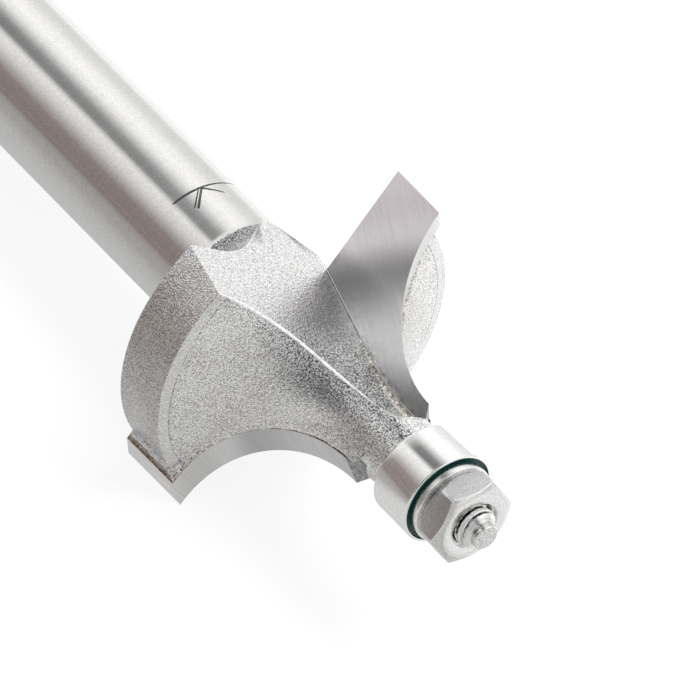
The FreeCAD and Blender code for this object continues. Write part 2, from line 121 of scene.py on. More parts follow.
def node(tree, kind, settings=None, **inputs):
    """One node with its sockets set, each from a number or from another node's output.
    A socket goes by its name, or by its place as i0 or i1."""
    made = tree.nodes.new(kind)
    for key, setting in (settings or {}).items():
        setattr(made, key, setting)
    for key, given in inputs.items():
        by_place = key[0] == "i" and key[1:].isdigit()
        socket = made.inputs[int(key[1:]) if by_place else key.replace("_", " ")]
        if isinstance(given, bpy.types.NodeSocket):
            tree.links.new(given, socket)
        else:
            socket.default_value = given
    return made


def sums(tree, operation, first, second=0.0, third=0.0):
    """One sum, such as ADD or MULTIPLY, as an output."""
    return node(tree, "ShaderNodeMath", {"operation": operation}, i0=first, i1=second, i2=third).outputs[0]


def steps(tree, factor, stops, smooth=False):
    """Colours laid out along a 0 to 1 range. A single number stands for a grey."""
    ramp = tree.nodes.new("ShaderNodeValToRGB")
    tree.links.new(factor, ramp.inputs[0])
    ramp.color_ramp.interpolation = "B_SPLINE" if smooth else "LINEAR"
    while len(ramp.color_ramp.elements) < len(stops):
        ramp.color_ramp.elements.new(1.0)
    for element, (place, colour) in zip(ramp.color_ramp.elements, stops):
        element.position = place
        tint = colour if isinstance(colour, tuple) else (colour, colour, colour)
        element.color = (*tint, 1.0)
    return ramp.outputs[0]


def upright(tree):
    """Places in the bit's own upright frame, as it was before it was laid down."""
    place = node(tree, "ShaderNodeTexCoord").outputs["Object"]
    laid = {"Location": heel, "Rotation": bit_place.to_euler()}
    return node(tree, "ShaderNodeMapping", {"vector_type": "TEXTURE"}, Vector=place, **laid).outputs[0]


def grain(tree, place, scale, detail=2.0, rough=0.5):
    """Plain noise of a given number of features to the metre."""
    made = node(tree, "ShaderNodeTexNoise", Vector=place, Scale=scale, Detail=detail, Roughness=rough)
    return made.outputs["Fac"]


def stretched(tree, place, scale):
    """Places drawn out into lines, by a scale for each way."""
    return node(tree, "ShaderNodeMapping", Vector=place, Scale=scale).outputs[0]


def about_axis(tree, where):
    """How far an upright place is from the bit's axis, and its height."""
    split = node(tree, "ShaderNodeSeparateXYZ", Vector=where)
    flat = node(tree, "ShaderNodeCombineXYZ", X=split.outputs["X"], Y=split.outputs["Y"]).outputs[0]
    distance = node(tree, "ShaderNodeVectorMath", {"operation": "LENGTH"}, i0=flat)
    return distance.outputs["Value"], split.outputs["Z"]


def reach_along(tree, place, way):
    """How far a place, or another direction, reaches along a way."""
    return node(tree, "ShaderNodeVectorMath", {"operation": "DOT_PRODUCT"}, i0=place, i1=way).outputs["Value"]


def ease(tree, value, start, end, most=1.0):
    """A share that grows from 0 to its most while a value goes from start to end."""
    return node(tree, "ShaderNodeMapRange", Value=value, From_Min=start, From_Max=end, To_Max=most).outputs[0]


def blend(tree, share, first, second, kind="MIX"):
    """The first colour, with a share of the second laid over it."""
    settings = {"data_type": "RGBA", "blend_type": kind}
    return node(tree, "ShaderNodeMix", settings, i0=share, i6=first, i7=second).outputs[2]


def rounded_edge(tree, radius, samples):
    """The surface's direction, with its edges rounded over a radius in metres."""
    return node(tree, "ShaderNodeBevel", {"samples": samples}, Radius=radius).outputs[0]


def edge_wear_and_highlight(tree, radius, most, least):
    """1 along the edges and 0 off them, by how far the rounded edge turns from the plain surface."""
    plain = node(tree, "ShaderNodeNewGeometry").outputs["Normal"]
    return steps(tree, reach_along(tree, plain, rounded_edge(tree, radius, 8)), [(most, 1.0), (least, 0.0)])


def bumped(tree, relief, strength, depth, edges=None):
    """The surface's direction, shaken by a relief of a given depth in metres."""
    over = {"Normal": edges} if edges else {}
    return node(tree, "ShaderNodeBump", Height=relief, Strength=strength, Distance=depth, **over).outputs[0]


def metal(tree, colour, rough, bump, share=1.0):
    """A metal surface, with its colour, roughness and bump."""
    return node(
        tree, "ShaderNodeBsdfPrincipled", Base_Color=colour, Metallic=share, Roughness=rough, Normal=bump,
    ).outputs[0]


def either(tree, share, first, second):
    """The first surface where the share is 0, and the second where it is 1."""
    return node(tree, "ShaderNodeMixShader", Fac=share, i1=first, i2=second).outputs[0]


# places in a finish are in metres, and most forms are drawn in millimetres
shank_radius = 0.003175
gullet_facing = Vector((0.9494, 0.314, 0))
bit_steel, tree, out = finish_tree("bit_steel")
where = upright(tree)
from_axis, height = about_axis(tree, where)

# ground shank: a satin of tiny specks, with fine lines round the bar and a few smudges
satin = grain(tree, where, 11000.0, 2.0, 0.6)
scratch = grain(tree, stretched(tree, where, (500.0, 500.0, 16000.0)), 1.0)
smudge = grain(tree, where, 420.0, 3.0)
shank_relief = sums(tree, "MULTIPLY_ADD", scratch, 0.35, satin)
shank_colour = steps(tree, shank_relief, [(0.45, (0.69, 0.68, 0.67)), (0.9, (0.87, 0.865, 0.86))])
shank_rough = sums(tree, "MULTIPLY_ADD", smudge, 0.07, 0.06)
ground = metal(tree, shank_colour, shank_rough, bumped(tree, shank_relief, 0.4, 1.2e-6))

# blasted head: crisp pits of under a tenth of a millimetre
pits = grain(tree, where, 15000.0, 1.0, 0.6)
coarse_pits = grain(tree, where, 8500.0, 1.0)
patches = grain(tree, where, 260.0)
relief = sums(tree, "MULTIPLY_ADD", coarse_pits, 0.8, pits)
# the long edges of the head are painted bright: partly wear, partly painted highlight
wear_and_highlight_within = 0.0056
wear_and_highlight = edge_wear_and_highlight(tree, 0.00015, 0.93, 0.99)
wear_and_highlight = sums(tree, "MULTIPLY", wear_and_highlight, sums(tree, "LESS_THAN", from_axis, wear_and_highlight_within))
mottle = sums(tree, "MULTIPLY_ADD", pits, 0.8, sums(tree, "MULTIPLY", patches, 0.2))
head_colour = steps(tree, mottle, [
    (0.37, (0.36, 0.352, 0.345)), (0.5, (0.7, 0.69, 0.68)), (0.61, (1.0, 0.995, 0.99)),
])

# the blast leaves the floor of each gullet rougher towards the nose, and there its colour paints shade and
# glints, as near-black grain with white specks
floor_pits = grain(tree, where, 12500.0, 1.0)
floor_colour = steps(tree, floor_pits, [
    (0.42, (0.52, 0.512, 0.505)), (0.5, (0.92, 0.913, 0.905)), (0.57, 1.0),
])
painted_glint_and_shade_colour = steps(tree, floor_pits, [
    (0.44, (0.015, 0.014, 0.013)), (0.505, (0.3, 0.293, 0.283)), (0.55, 1.0),
])
flat_facing = node(tree, "ShaderNodeNewGeometry").outputs["True Normal"]
floor_share = reach_along(tree, flat_facing, bit_place.to_3x3() @ gullet_facing)
flat_floor = sums(tree, "GREATER_THAN", sums(tree, "ABSOLUTE", floor_share), 0.9)
off_floor = sums(tree, "SUBTRACT", 1.0, flat_floor)
deep_start, deep_full, neck_near, neck_start = 0.0035, 0.0068, 0.0092, 0.0098
towards_nose = ease(tree, height, deep_start, deep_full)
before_neck = ease(tree, height, neck_start, neck_near)
deep = sums(tree, "MULTIPLY", flat_floor, sums(tree, "MULTIPLY", towards_nose, before_neck))
relief = sums(tree, "MULTIPLY", relief, sums(tree, "MULTIPLY_ADD", deep, 1.9, 1.0))
head_bump = bumped(tree, relief, 1.0, 2.2e-5, rounded_edge(tree, 0.00009, 6))
head_rough = sums(tree, "MULTIPLY_ADD", deep, 0.16, 0.15)

# a fine turned groove runs round the cove, half a millimetre inside its rim: its shade is painted as a dark
# line, and a painted highlight lightens the band between it and the rim
line_radius, line_edge, line_middle = 0.00738, 0.00004, 0.00001
cove_start, cove_middle = 0.00296, 0.0045
from_line = sums(tree, "ABSOLUTE", sums(tree, "SUBTRACT", from_axis, line_radius))
at_line = ease(tree, from_line, line_edge, line_middle, 0.5)
above_rim = sums(tree, "GREATER_THAN", height, cove_start)
in_cove = sums(tree, "MULTIPLY", above_rim, sums(tree, "LESS_THAN", height, cove_middle))
in_cove = sums(tree, "MULTIPLY", in_cove, off_floor)
painted_groove_shade = sums(tree, "MULTIPLY", at_line, in_cove)
fading = ease(tree, grain(tree, where, 700.0), 0.38, 0.5)
painted_groove_shade = sums(tree, "MULTIPLY", painted_groove_shade, fading)
painted_rim_highlight = ease(tree, from_axis, line_radius, line_radius + 0.0001, 0.45)
painted_rim_highlight = sums(tree, "MULTIPLY", painted_rim_highlight, in_cove)
# the painted highlight between the line and the rim, then the line's painted shade
head_colour = blend(tree, painted_rim_highlight, head_colour, (0.8, 0.795, 0.79, 1.0))
head_colour = blend(tree, painted_groove_shade, head_colour, (0.1, 0.095, 0.09, 1.0))
head_colour = blend(tree, flat_floor, head_colour, floor_colour)
# towards the nose the gullet floor takes the painted shade and glints
head_colour = blend(tree, deep, head_colour, painted_glint_and_shade_colour)

# beside the edge where each gullet runs out through the cove, a band of the head is painted with dark grain,
# as a dark reflection
floor_start, floor_fall, floor_least = 0.002659, -0.1969, 0.0013
across_floor = reach_along(tree, where, gullet_facing)
side = sums(tree, "SIGN", reach_along(tree, where, Vector((0, 1, 0))))
beyond_axis = sums(tree, "MULTIPLY", across_floor, side)
floor_depth = sums(tree, "MULTIPLY_ADD", height, floor_fall, floor_start)
floor_depth = sums(tree, "MAXIMUM", floor_depth, floor_least)
below_floor = sums(tree, "SUBTRACT", floor_depth, beyond_axis)
widest_band, full_band = 0.0014, 0.0002
beside_edge = ease(tree, below_floor, widest_band, full_band)
beside_edge = sums(tree, "MULTIPLY", beside_edge, sums(tree, "GREATER_THAN", below_floor, -0.0001))
past_rim = ease(tree, height, 0.003, 0.0052)
beside_edge = sums(tree, "MULTIPLY", beside_edge, sums(tree, "MULTIPLY", past_rim, off_floor))
painted_dark_reflection = steps(tree, pits, [
    (0.42, (0.08, 0.078, 0.075)), (0.49, (0.74, 0.734, 0.727)), (0.54, 1.0),
])
# the painted dark reflection beside the edge
head_colour = blend(tree, beside_edge, head_colour, painted_dark_reflection)

# the corner behind the head is painted dark as shade, and the long edges are painted bright, partly as wear
# and partly as highlight
off_shank = ease(tree, from_axis, shank_radius - 0.00001, shank_radius + 0.000025, 0.8)
behind_head = ease(tree, height, -0.0008, -0.0016)
painted_corner_shade = sums(tree, "MULTIPLY", off_shank, behind_head)
corner_shade_colour = steps(tree, pits, [(0.42, 0.03), (0.5, 0.16), (0.58, 0.5)])
# painted shade in the corner behind the head
head_colour = blend(tree, painted_corner_shade, head_colour, corner_shade_colour)
head_colour = blend(tree, wear_and_highlight, head_colour, (0.98, 0.98, 0.98, 1.0))
grainy = metal(tree, head_colour, head_rough, head_bump)

# the bearing seat behind the thread: plain bright lathe work
turning = grain(tree, stretched(tree, where, (200.0, 200.0, 22000.0)), 1.0)
turned = metal(tree, (0.6, 0.59, 0.58, 1.0), 0.3, bumped(tree, turning, 0.4, 4e-6))

# the blast covers the head and the gullets' run-outs, and stops sharply on the ground shank
blast_end, blast_ragged, gullet_end, seat_start = -0.0022, 0.00025, -0.012, 0.01154
ragged = sums(tree, "MULTIPLY_ADD", coarse_pits, blast_ragged, height)
on_head = sums(tree, "GREATER_THAN", ragged, blast_end)
in_gullet = sums(tree, "LESS_THAN", from_axis, shank_radius - 0.00002)
near_head = sums(tree, "GREATER_THAN", height, gullet_end)
blasted = sums(tree, "MAXIMUM", on_head, sums(tree, "MULTIPLY", in_gullet, near_head))
on_seat = sums(tree, "GREATER_THAN", height, seat_start)
bar_surface = either(tree, on_seat, either(tree, blasted, ground, grainy), turned)
tree.links.new(bar_surface, out)

# the thread at the nose is a piece of its own, so the bar ends below it
thread_foot = 14.2
body_mesh = milled_copy("cutter_body", "fluted_body", 24, lambda spot: spot.z > thread_foot)
fluted_body = lay_down("fluted_body", body_mesh, bit_steel, "root")
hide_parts("cutter_body")


# THREADED STUD. The nose of the bar is cut with a fine thread for the nut. It ends in a steep
# cone and a short plain point, as the lathe left it.
crest_radius, root_radius, point_radius, thread_pitch = 1.0, 0.8, 0.65, 0.35
cone_start, stud_tip = 16.30125, 16.98125
stud_bright, tree, out = finish_tree("stud_bright")
where = upright(tree)
from_axis, height = about_axis(tree, where)
turning = grain(tree, stretched(tree, where, (300.0, 300.0, 26000.0)), 1.0)
stud_colour = steps(tree, turning, [(0.35, (0.55, 0.545, 0.54)), (0.6, (0.95, 0.945, 0.94))])
# the thread's roots are painted dark, as their shade
painted_root_shade = ease(tree, from_axis, 0.00098, 0.00088)
painted_root_shade = sums(tree, "MULTIPLY", painted_root_shade, sums(tree, "LESS_THAN", height, cone_start / 1000))
stud_colour = blend(tree, painted_root_shade, stud_colour, (0.12, 0.12, 0.12, 1.0))
polished = metal(tree, stud_colour, 0.06, bumped(tree, turning, 0.4, 1e-6))
speck = grain(tree, where, 14000.0, 1.0)
sawn_colour = steps(tree, speck, [(0.36, (0.4, 0.397, 0.393)), (0.64, (0.74, 0.735, 0.73))])
sawn = metal(tree, sawn_colour, 0.35, bumped(tree, speck, 0.5, 4e-6))
at_end = sums(tree, "GREATER_THAN", height, (stud_tip - 0.00075) / 1000)
tree.links.new(either(tree, at_end, polished, sawn), out)


def corner(surface, radius, angle, height):
    """A new corner of a surface, at a radius, an angle and a height, in millimetres."""
    spot = Vector((radius * math.cos(angle), radius * math.sin(angle), height))
    return surface.verts.new(spot / 1000)


def join_rings(surface, rings):
    """Faces from each ring of corners to the next, each with the place of its first corner."""
    faces = []
    for near, far in zip(rings, rings[1:]):
        for place in range(len(near)):
            after = (place + 1) % len(near)
            face = surface.faces.new((near[place], near[after], far[after], far[place]))
            faces.append((place, face))
    return faces


def threaded_point(low, thread_end, pitch, crest, root, point, tip):
    """The thread, its cone and the point, from heights and radii in millimetres. The flanks are
    three times as steep as a plain zigzag, which leaves flat crests and roots."""
    surface = bmesh.new()
    around, up, broken = 120, 150, 0.05
    cone_end = thread_end + crest - point
    rings = []
    for row in range(up + 1):
        z = low + (tip - low) * row / up
        if z < thread_end:
            limit = crest
        elif z < cone_end:
            limit = crest - (z - thread_end)
        else:
            limit = min(point, point - broken + (tip - z))
        ring = []
        for step in range(around):
            turn = step / around
            phase = (z / pitch - turn) % 1.0
            flank = min(1.0, max(0.0, 3.0 * abs(2 * phase - 1) - 0.4))
            radius = min(limit, root + (crest - root) * flank) if z < cone_end else limit
            ring.append(corner(surface, radius, 2 * math.pi * turn, z))
        rings.append(ring)
    join_rings(surface, rings)
    middle = surface.verts.new((0, 0, tip / 1000))
    for step in range(around):
        surface.faces.new((rings[-1][step], rings[-1][(step + 1) % around], middle))
    return finished_mesh(surface, bpy.data.meshes.new("threaded_stud"), 32)


stud_mesh = threaded_point(
    thread_foot - 0.05, cone_start, thread_pitch, crest_radius, root_radius, point_radius, stud_tip,
)
lay_down("threaded_stud", stud_mesh, stud_bright, "root")


# INSERTION MARK. A line burnt into the shank just behind the head, with an arrow, shows how far
# the bit goes into the collet. It lies on the surface and is about a tenth of a millimetre wide.
mark_black, tree, out = finish_tree("mark_black")
burn = steps(tree, grain(tree, upright(tree), 9000.0), [(0.35, 0.03), (0.75, (0.14, 0.135, 0.13))])
burnt = node(tree, "ShaderNodeBsdfPrincipled", Base_Color=burn, Metallic=0.2, Roughness=0.6).outputs[0]
tree.links.new(burnt, out)


def burnt_line(surface, start, end, widths):
    """A strip on the shank between two places, each an angle and a height, with its widths."""
    lift = 0.000004
    radius = shank_radius + lift
    count = 24
    ahead = Vector(((end[0] - start[0]) * radius, end[1] - start[1]))
    across = Vector((-ahead.y, ahead.x)).normalized() / 2
    rows = []
    for step in range(count + 1):
        share = step / count
        taper = math.sqrt(max(0.0, 1 - abs(2 * share - 1) ** 8))
        width = (widths[0] + (widths[1] - widths[0]) * share) * taper
        pair = []
        for side in (-1, 1):
            angle = start[0] + (end[0] - start[0]) * share + side * width * across.x / radius
            z = start[1] + (end[1] - start[1]) * share + side * width * across.y
            pair.append(surface.verts.new((radius * math.cos(angle), radius * math.sin(angle), z)))
        rows.append(pair)
    for (a, b), (c, d) in zip(rows, rows[1:]):
        surface.faces.new((a, c, d, b))


# each stroke starts and ends at an angle in degrees and a height in metres: the line round the
# shank, and three short ones that meet it as an arrow
mark_height = -0.00545
surface = bmesh.new()
for start, end, widths in (
    ((12.0, mark_height), (79.0, mark_height), (0.00004, 0.00015)),
    ((49.0, mark_height), (65.5, -0.00442), (0.0001, 0.00013)),
    ((52.0, mark_height), (67.5, -0.00455), (0.00006, 0.00008)),
    ((51.0, mark_height), (34.0, -0.00475), (0.00013, 0.00005)),
):
    burnt_line(surface, (math.radians(start[0]), start[1]), (math.radians(end[0]), end[1]), widths)
mark_mesh = finished_mesh(surface, bpy.data.meshes.new("insertion_mark"), 60)
lay_down("insertion_mark", mark_mesh, mark_black, "root")


# CARBIDE TIPS. Two plates of sintered tungsten carbide, each ground on its cutting face and then
# on the profile. The wheels leave fine straight lines, and the ends are dark grey, partly as their
# sintered skin and partly as painted shade.
ring_radius, profile_radius, straight_height = 2.38125, 6.35, 3.56
cut_radius = ring_radius + profile_radius
tip_end = straight_height + profile_radius
hook = math.radians(13.6)
shear = math.radians(9.17)
face_turn = Matrix.Rotation(math.pi / 2, 3, "X") @ Matrix.Rotation(hook, 3, "Y")
face_turn = face_turn @ Matrix.Rotation(-shear, 3, "X")
into_tip = face_turn @ Vector((0, 0, 1))
along_tip = face_turn @ Vector((0, 1, 0))

# the second wing is the first one turned by half a turn
wings = ((1, Matrix.Identity(3)), (2, Matrix.Rotation(math.pi, 3, "Z")))

# light and dark bands of painted reflection across the ground face and flank, laid from heel to nose
face_reflection_bands = [
    (0.09, (0.78, 0.73, 0.76)), (0.19, (0.66, 0.62, 0.64)), (0.3, (0.86, 0.82, 0.84)),
    (0.37, (0.42, 0.41, 0.42)), (0.44, (0.26, 0.26, 0.265)), (0.53, (0.46, 0.46, 0.47)),
    (0.62, (0.9, 0.9, 0.91)), (0.7, (1.0, 0.99, 1.0)), (0.79, 1.0),
    (0.85, (0.72, 0.72, 0.73)), (0.92, (0.5, 0.5, 0.51)), (0.97, (0.4, 0.4, 0.41)),
]
flank_reflection_bands = [
    (0.2, (0.98, 0.96, 0.95)), (0.27, (0.66, 0.655, 0.65)), (0.4, (0.68, 0.68, 0.675)),
    (0.48, 0.8), (0.56, (0.46, 0.46, 0.465)), (0.7, (0.62, 0.62, 0.625)),
    (0.85, (0.72, 0.72, 0.73)), (0.97, 0.6),
]


def carbide_finish(name, turn, stops, rough, lines):
    """Ground carbide: lines at a given lean, and bands of painted reflection that drift from heel to nose."""
    drift_up, drift_out, drift_start = 52.84, -64.56, 0.6
    finish, tree, out = finish_tree(name)
    from_axis, height = about_axis(tree, upright(tree))
    drift = sums(tree, "MULTIPLY_ADD", from_axis, drift_out, drift_start)
    drift = sums(tree, "MULTIPLY_ADD", height, drift_up, drift)
    tone = steps(tree, drift, stops, smooth=True)
    flat_place = node(tree, "ShaderNodeCombineXYZ", X=from_axis, Y=0.0, Z=height).outputs[0]
    about = {"Vector": flat_place, "Angle": math.radians(turn)}
    on_wheel = node(tree, "ShaderNodeVectorRotate", {"rotation_type": "Y_AXIS"}, **about).outputs[0]
    wheel = grain(tree, stretched(tree, on_wheel, (lines, 300.0, 250.0)), 1.0, 2.0, 0.7)
    streak = steps(tree, wheel, [(0.3, 0.86), (0.7, 1.0)])
    colour = blend(tree, 1.0, tone, streak, "MULTIPLY")
    bump = bumped(tree, wheel, 0.5, 3e-6, rounded_edge(tree, 0.00002, 4))
    tree.links.new(metal(tree, colour, rough, bump), out)
    return finish


carbide_face = carbide_finish("carbide_face", turn=26, stops=face_reflection_bands, rough=0.22, lines=15000.0)
carbide_flank = carbide_finish("carbide_flank", turn=4, stops=flank_reflection_bands, rough=0.24, lines=13000.0)

# the tips' ends take this dark grey: partly sintered skin, partly painted shade
sintered_skin_and_shade, tree, out = finish_tree("sintered_skin_and_shade")
crumbs = grain(tree, upright(tree), 7000.0, 3.0)
skin_and_shade_colour = steps(tree, crumbs, [(0.35, (0.24, 0.24, 0.245)), (0.7, (0.5, 0.5, 0.505))])
sintered = metal(tree, skin_and_shade_colour, 0.4, bumped(tree, crumbs, 0.5, 8e-6), 0.8)
tree.links.new(sintered, out)


def braze_finish(name, dark, middle, pale, share):
    """Cast solder: fine flecks over wider blotches, in three tones."""
    finish, tree, out = finish_tree(name)
    where = upright(tree)
    flecks = grain(tree, where, 9500.0)
    blotches = grain(tree, where, 1800.0)
    mixed = sums(tree, "MULTIPLY_ADD", flecks, 0.7, sums(tree, "MULTIPLY", blotches, 0.3))
    colour = steps(tree, mixed, [(0.36, dark), (0.5, middle), (0.62, pale)])
    bump = bumped(tree, flecks, 1.0, 3e-5)
    tree.links.new(metal(tree, colour, 0.36, bump, share), out)
    return finish


# the back of a tip is wetted by the braze that holds it; its ends and its nose are dark grey, partly as
# sintered skin and partly as painted shade
straight_on, nearly, dark_nose_height = 0.99, 0.97, 0.0096
braze_brown = braze_finish("braze_brown", (0.12, 0.07, 0.05), (0.3, 0.19, 0.14), (0.52, 0.42, 0.34), 0.85)
tip_finishes = [carbide_flank, carbide_face, sintered_skin_and_shade, braze_brown]
for number, turn in wings:
    tip_mesh = milled_copy(f"carbide_tip_{number}", f"ground_tip_{number}", 20)
    for face in tip_mesh.polygons:
        into_share = face.normal.dot(turn @ into_tip)
        if into_share < -straight_on:
            face.material_index = tip_finishes.index(carbide_face)
        elif abs(face.normal.dot(turn @ along_tip)) > nearly or face.center.z > dark_nose_height:
            face.material_index = tip_finishes.index(sintered_skin_and_shade)
        elif into_share > straight_on:
            face.material_index = tip_finishes.index(braze_brown)
    ground_tip = lay_down(f"ground_tip_{number}", tip_mesh, tip_finishes, "root")
    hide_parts(f"carbide_tip_{number}")


# BRAZE. The tips are soldered into their seats with a copper-brown alloy. It fills the thin gap
# behind the tip, and what was squeezed out stands beside the tip in small uneven beads.
braze_grey = braze_finish("braze_grey", (0.16, 0.14, 0.12), (0.36, 0.34, 0.31), (0.62, 0.59, 0.55), 0.95)
braze_pale = braze_finish("braze_pale", (0.12, 0.109, 0.095), (0.6, 0.565, 0.505), (0.99, 0.965, 0.92), 1.0)
cleaned_height = 0.0092
for number in (1, 2):
    seam_mesh = milled_copy(f"braze_seam_{number}", f"filled_seam_{number}", 30)
    for face in seam_mesh.polygons:
        face.material_index = int(face.center.z > cleaned_height)
    filled_seam = lay_down(f"filled_seam_{number}", seam_mesh, [braze_brown, bit_steel], "root")
    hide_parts(f"braze_seam_{number}")


def bead(name, finish, line, seed, columns, lump=0.5, strip=None):
    """An uneven bead. The line gives for each row its middle, the way across, the way up,
    the half width and the height, in millimetres. The second finish takes a strip at its far side."""
    sunk = 0.012
    surface = bmesh.new()
    rows = []
    for spot, across, up, half, rise in line:
        row = []
        for column in range(columns):
            share = 2 * column / (columns - 1) - 1
            at = spot + across * half * share
            coarse = noise.noise(at * 6.5 + Vector((seed, 0, 0)))
            fine = noise.noise(at * 16 + Vector((0, seed, 0)))
            uneven = 1 + lump * 2 * coarse + lump * fine
            wobble = 1 + 0.25 * noise.noise(spot * 3.0 + Vector((0, 0, seed)))
            high = rise * (1 - share * share) * max(0.15, uneven) - sunk
            row.append(surface.verts.new((spot + across * half * share * wobble + up * high) / 1000))
        rows.append(row)
    for place, (near, far) in enumerate(zip(rows, rows[1:])):
        for column in range(columns - 1):
            face = surface.faces.new((near[column], near[column + 1], far[column + 1], far[column]))
            if strip:
                to_side = line[place][3] * (1 - (2 * column + 1 - (columns - 1)) / (columns - 1))
                uneven = 0.6 + 0.8 * noise.noise(Vector((place * 0.11, seed, column * 0.4)))
                face.material_index = int(to_side < strip(place / len(line)) * (1 + uneven) / 1.6)
    return lay_down(name, finished_mesh(surface, bpy.data.meshes.new(name), 180), finish, "root")


def circle_through(a, b, c):
    """Centre and radius of the circle through three points."""
    d = 2 * (a.x * (b.y - c.y) + b.x * (c.y - a.y) + c.x * (a.y - b.y))
    x = (a.length_squared * (b.y - c.y) + b.length_squared * (c.y - a.y) + c.length_squared * (a.y - b.y)) / d
    y = (a.length_squared * (c.x - b.x) + b.length_squared * (a.x - c.x) + c.length_squared * (b.x - a.x)) / d
    centre = Vector((x, y))
    return centre, (a - centre).length


# the head's own form in millimetres: a rim, a cove that runs a little behind the profile, a neck
tip_overhang, land_drop, neck_inset, cove_room = 0.83, 0.61, 0.5, 0.36
rim_radius = cut_radius - tip_overhang
rim_top = straight_height - land_drop
neck_radius = ring_radius - neck_inset
reach = (profile_radius + cove_room) * math.sqrt(0.5)
cove_centre, cove_round = circle_through(
    Vector((rim_radius, rim_top)),
    Vector((cut_radius - reach, tip_end - reach)),
    Vector((neck_radius, tip_end)),
)


def cove_radius(z):
    """The head's own radius at a height, and the slope of its surface there."""
    if z < rim_top:
        return rim_radius, Vector((1, 0))
    if z > tip_end:
        return neck_radius, Vector((1, 0))
    run = math.sqrt(cove_round ** 2 - (cove_centre.y - z) ** 2)
    return cove_centre.x - run, Vector((run, cove_centre.y - z)) / cove_round


def behind_tip(z, depth):
    """A place on the turned head at a height and at a depth behind the cutting face."""
    radius = cove_radius(z)[0]
    lean = depth - z * math.sin(shear) + cut_radius * math.cos(shear) * math.sin(hook)
    angle = hook - math.asin(lean / (radius * math.cos(shear)))
    return Vector((math.cos(angle), math.sin(angle), 0)) * radius + Vector((0, 0, z))


def on_face(x, z, depth=0.0, side_fall=0.0, end_fall=0.0):
    """A place in the cutting face, or behind it by a depth, from its distance and height. The falls
    say how far the ground flank draws back there, to the side and along the bit."""
    across = (x - cut_radius) / math.cos(hook) + z * math.tan(hook) * math.tan(shear) - side_fall
    along = z / math.cos(shear) - end_fall
    return Vector((cut_radius, 0, 0)) + face_turn @ Vector((across, along, depth))


def tip_back(x, z):
    """The ground flank's far edge, from a point of the profile given by its distance and height."""
    depth = 0.97
    side_relief, end_relief = math.radians(36.9), math.radians(23.7)
    return on_face(x, z, depth, depth * math.tan(side_relief), depth * math.tan(end_relief))


def on_head(spot, depth, low, high):
    """The nearest place on the turned head at a depth behind the cutting face."""
    places = [behind_tip(low + (high - low) * step / 160, depth) for step in range(161)]
    return min(places, key=lambda place: (place - spot).length)


def fillet_rows(edges, low, high, depth, cover, rise):
    """Rows of a bead that fills the corner between the head and the tip's far edge."""
    rows = []
    feet = [on_head(edge, depth, low, high) for edge in edges]
    for place, (edge, foot) in enumerate(zip(edges, feet)):
        edge = foot + (edge - foot) * cover
        ahead = edges[min(place + 1, len(edges) - 1)] - edges[max(place - 1, 0)]
        across = (edge - foot) / 2
        up = across.cross(ahead).normalized()
        if up.dot(Vector((edge.x, edge.y, 2.0))) < 0:
            up = -up
        rows.append(((edge + foot) / 2, across.normalized(), up, across.length, rise))
    return rows


def gullet_line(z):
    """Where the gullet's floor meets the cutting face at a height, in the bit's own frame. The floor
    leans in, bends into the throat on a wide round, and turns out again at the end on a tight one."""
    start, lean, throat = 3.24, math.radians(13.65), 1.46
    bend_start, bend_end, bend_round = 5.64, 9.07, 14.53
    end_start, end_round = 9.61, 1.0
    if z < bend_start:
        x = start - z * math.tan(lean)
    elif z < bend_end:
        x = throat + bend_round - math.sqrt(bend_round ** 2 - (bend_end - z) ** 2)
    else:
        past = max(0.0, z - end_start)
        x = throat + max(0.0, end_round - math.sqrt(max(0.0, end_round ** 2 - past ** 2)))
    return on_face(x, z)


gullet_turn = math.radians(18.3)
floor_way = Vector((-math.sin(gullet_turn), math.cos(gullet_turn), 0))
floor_up = Vector((math.cos(gullet_turn), math.sin(gullet_turn), 0.24)).normalized()
rim_start, end_run = 0.5, 0.14
bead_start, bead_end = 4.3, 10.25
for number, turn in wings:
    cove_edges = []
    for step in range(151):
        swept = math.radians(90 * step / 150)
        cove_edges.append(tip_back(
            cut_radius - profile_radius * math.sin(swept), tip_end - profile_radius * math.cos(swept),
        ))
    cove_edges += [tip_back(ring_radius, tip_end + end_run * step / 5) for step in range(1, 6)]
    rim_edges = [
        tip_back(cut_radius, rim_start + (straight_height - rim_start) * step / 60) for step in range(61)
    ]
    cove_line = fillet_rows(cove_edges, low=2.6, high=10.3, depth=1.32, cover=0.95, rise=0.04)
    rim_line = fillet_rows(rim_edges, low=0.1, high=rim_top, depth=1.3, cover=0.74, rise=0.03)
    floor_line = []
    for step in range(121):
        share = step / 120
        z = bead_start + (bead_end - bead_start) * share
        half = 0.05 + 0.36 * share ** 1.2
        spot = gullet_line(z) + floor_way * (half + 0.08 + 0.08 * share)
        floor_line.append((spot, floor_way, floor_up, half, 0.07 + 0.08 * share))
    cove_line, rim_line, floor_line = (
        [(turn @ spot, turn @ across, turn @ up, half, rise) for spot, across, up, half, rise in line]
        for line in (cove_line, rim_line, floor_line)
    )
    bead(
        f"cove_bead_{number}", [bit_steel, braze_pale], cove_line, seed=3.0 + number, columns=25,
        strip=lambda share: 0.26 * max(0.0, 1 - 1.5 * share) + 0.05,
    )
    bead(
        f"rim_bead_{number}", [bit_steel, braze_grey], rim_line, seed=7.0 + number, columns=17,
        strip=lambda share: 0.2,
    )
    bead(f"gullet_bead_{number}", braze_pale, floor_line, seed=11.0 + number, columns=13)


